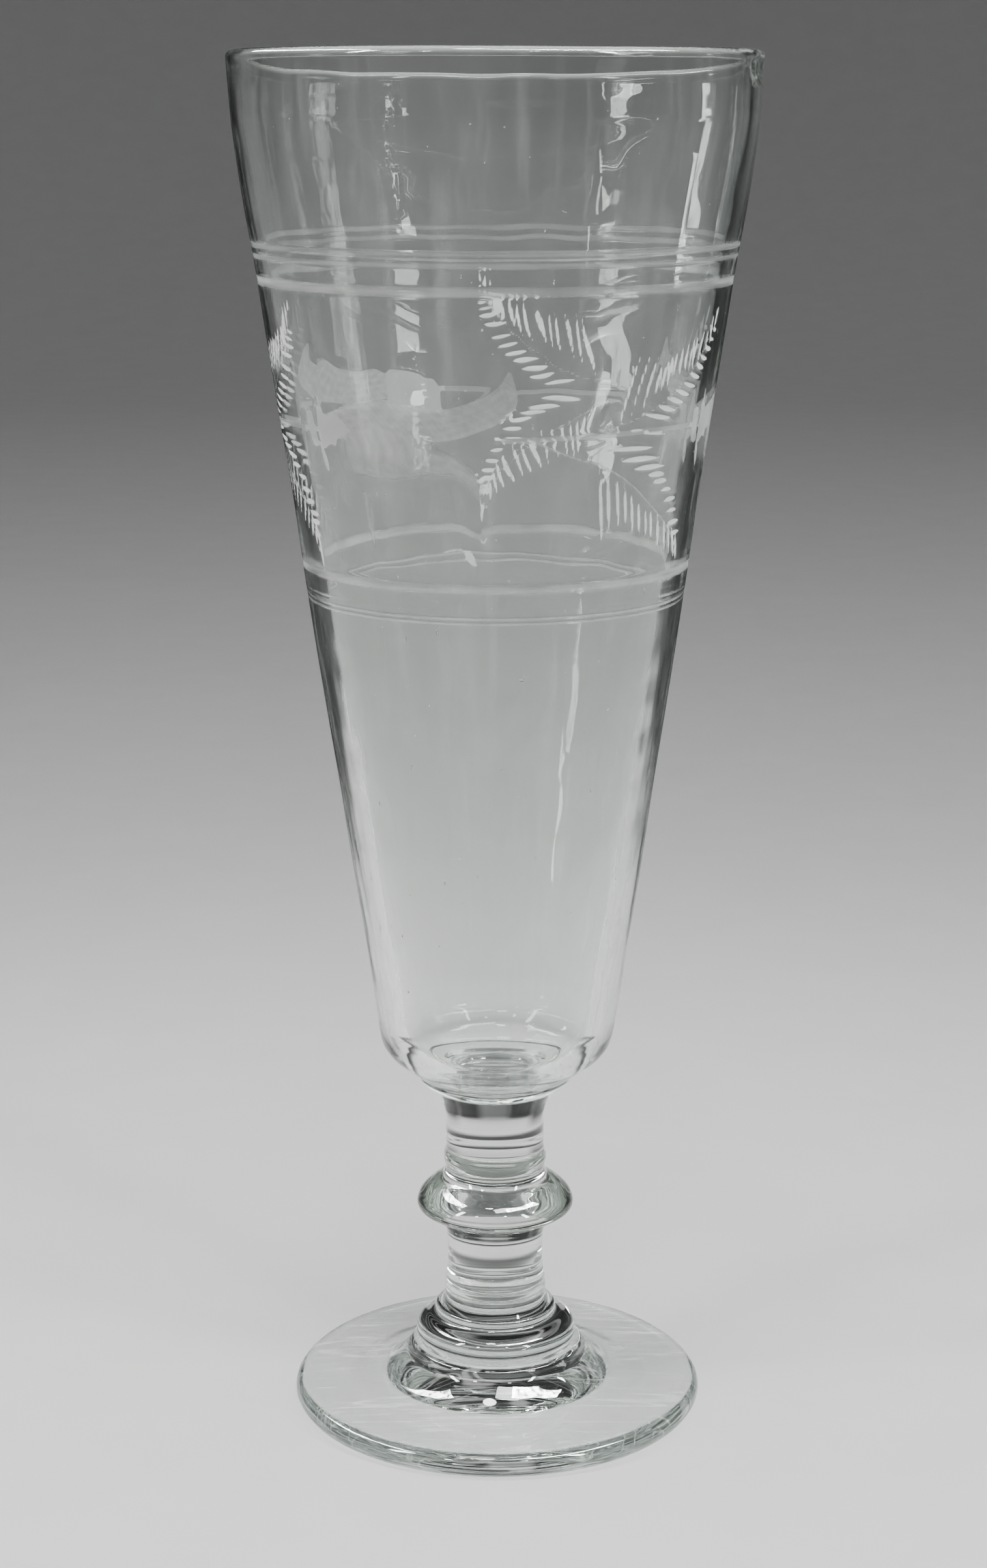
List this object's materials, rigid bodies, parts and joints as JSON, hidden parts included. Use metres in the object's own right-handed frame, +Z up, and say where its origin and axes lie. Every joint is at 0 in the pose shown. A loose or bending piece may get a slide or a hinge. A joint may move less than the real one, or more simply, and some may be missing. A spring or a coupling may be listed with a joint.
{
  "type": "footed ale glass",
  "caption": "Tall footed ale glass: a tapering blown bowl with cut rings on a short knopped stem and a round domed foot.",
  "frame": {"origin": "centre of the foot on the plane it rests on", "axes": "+Z up the axis of the glass from the foot to the rim; -Y towards a viewer who sees the chip in the rim on the right"},
  "size_m": [0.0944, 0.0944, 0.2533],
  "materials": {
    "bowl_glass": "clear, fire polished, with matt wheel-cut rings",
    "stem_glass": "clear, fire polished",
    "foot_glass": "clear, lightly scratched"
  },
  "bodies": {
    "root": {"bowl": "bowl_glass", "bowl_collar": "stem_glass", "upper_stem": "stem_glass", "annular_knop": "stem_glass", "lower_stem": "stem_glass", "base_knop": "stem_glass", "foot": "foot_glass"}
  },
  "joints": []
}
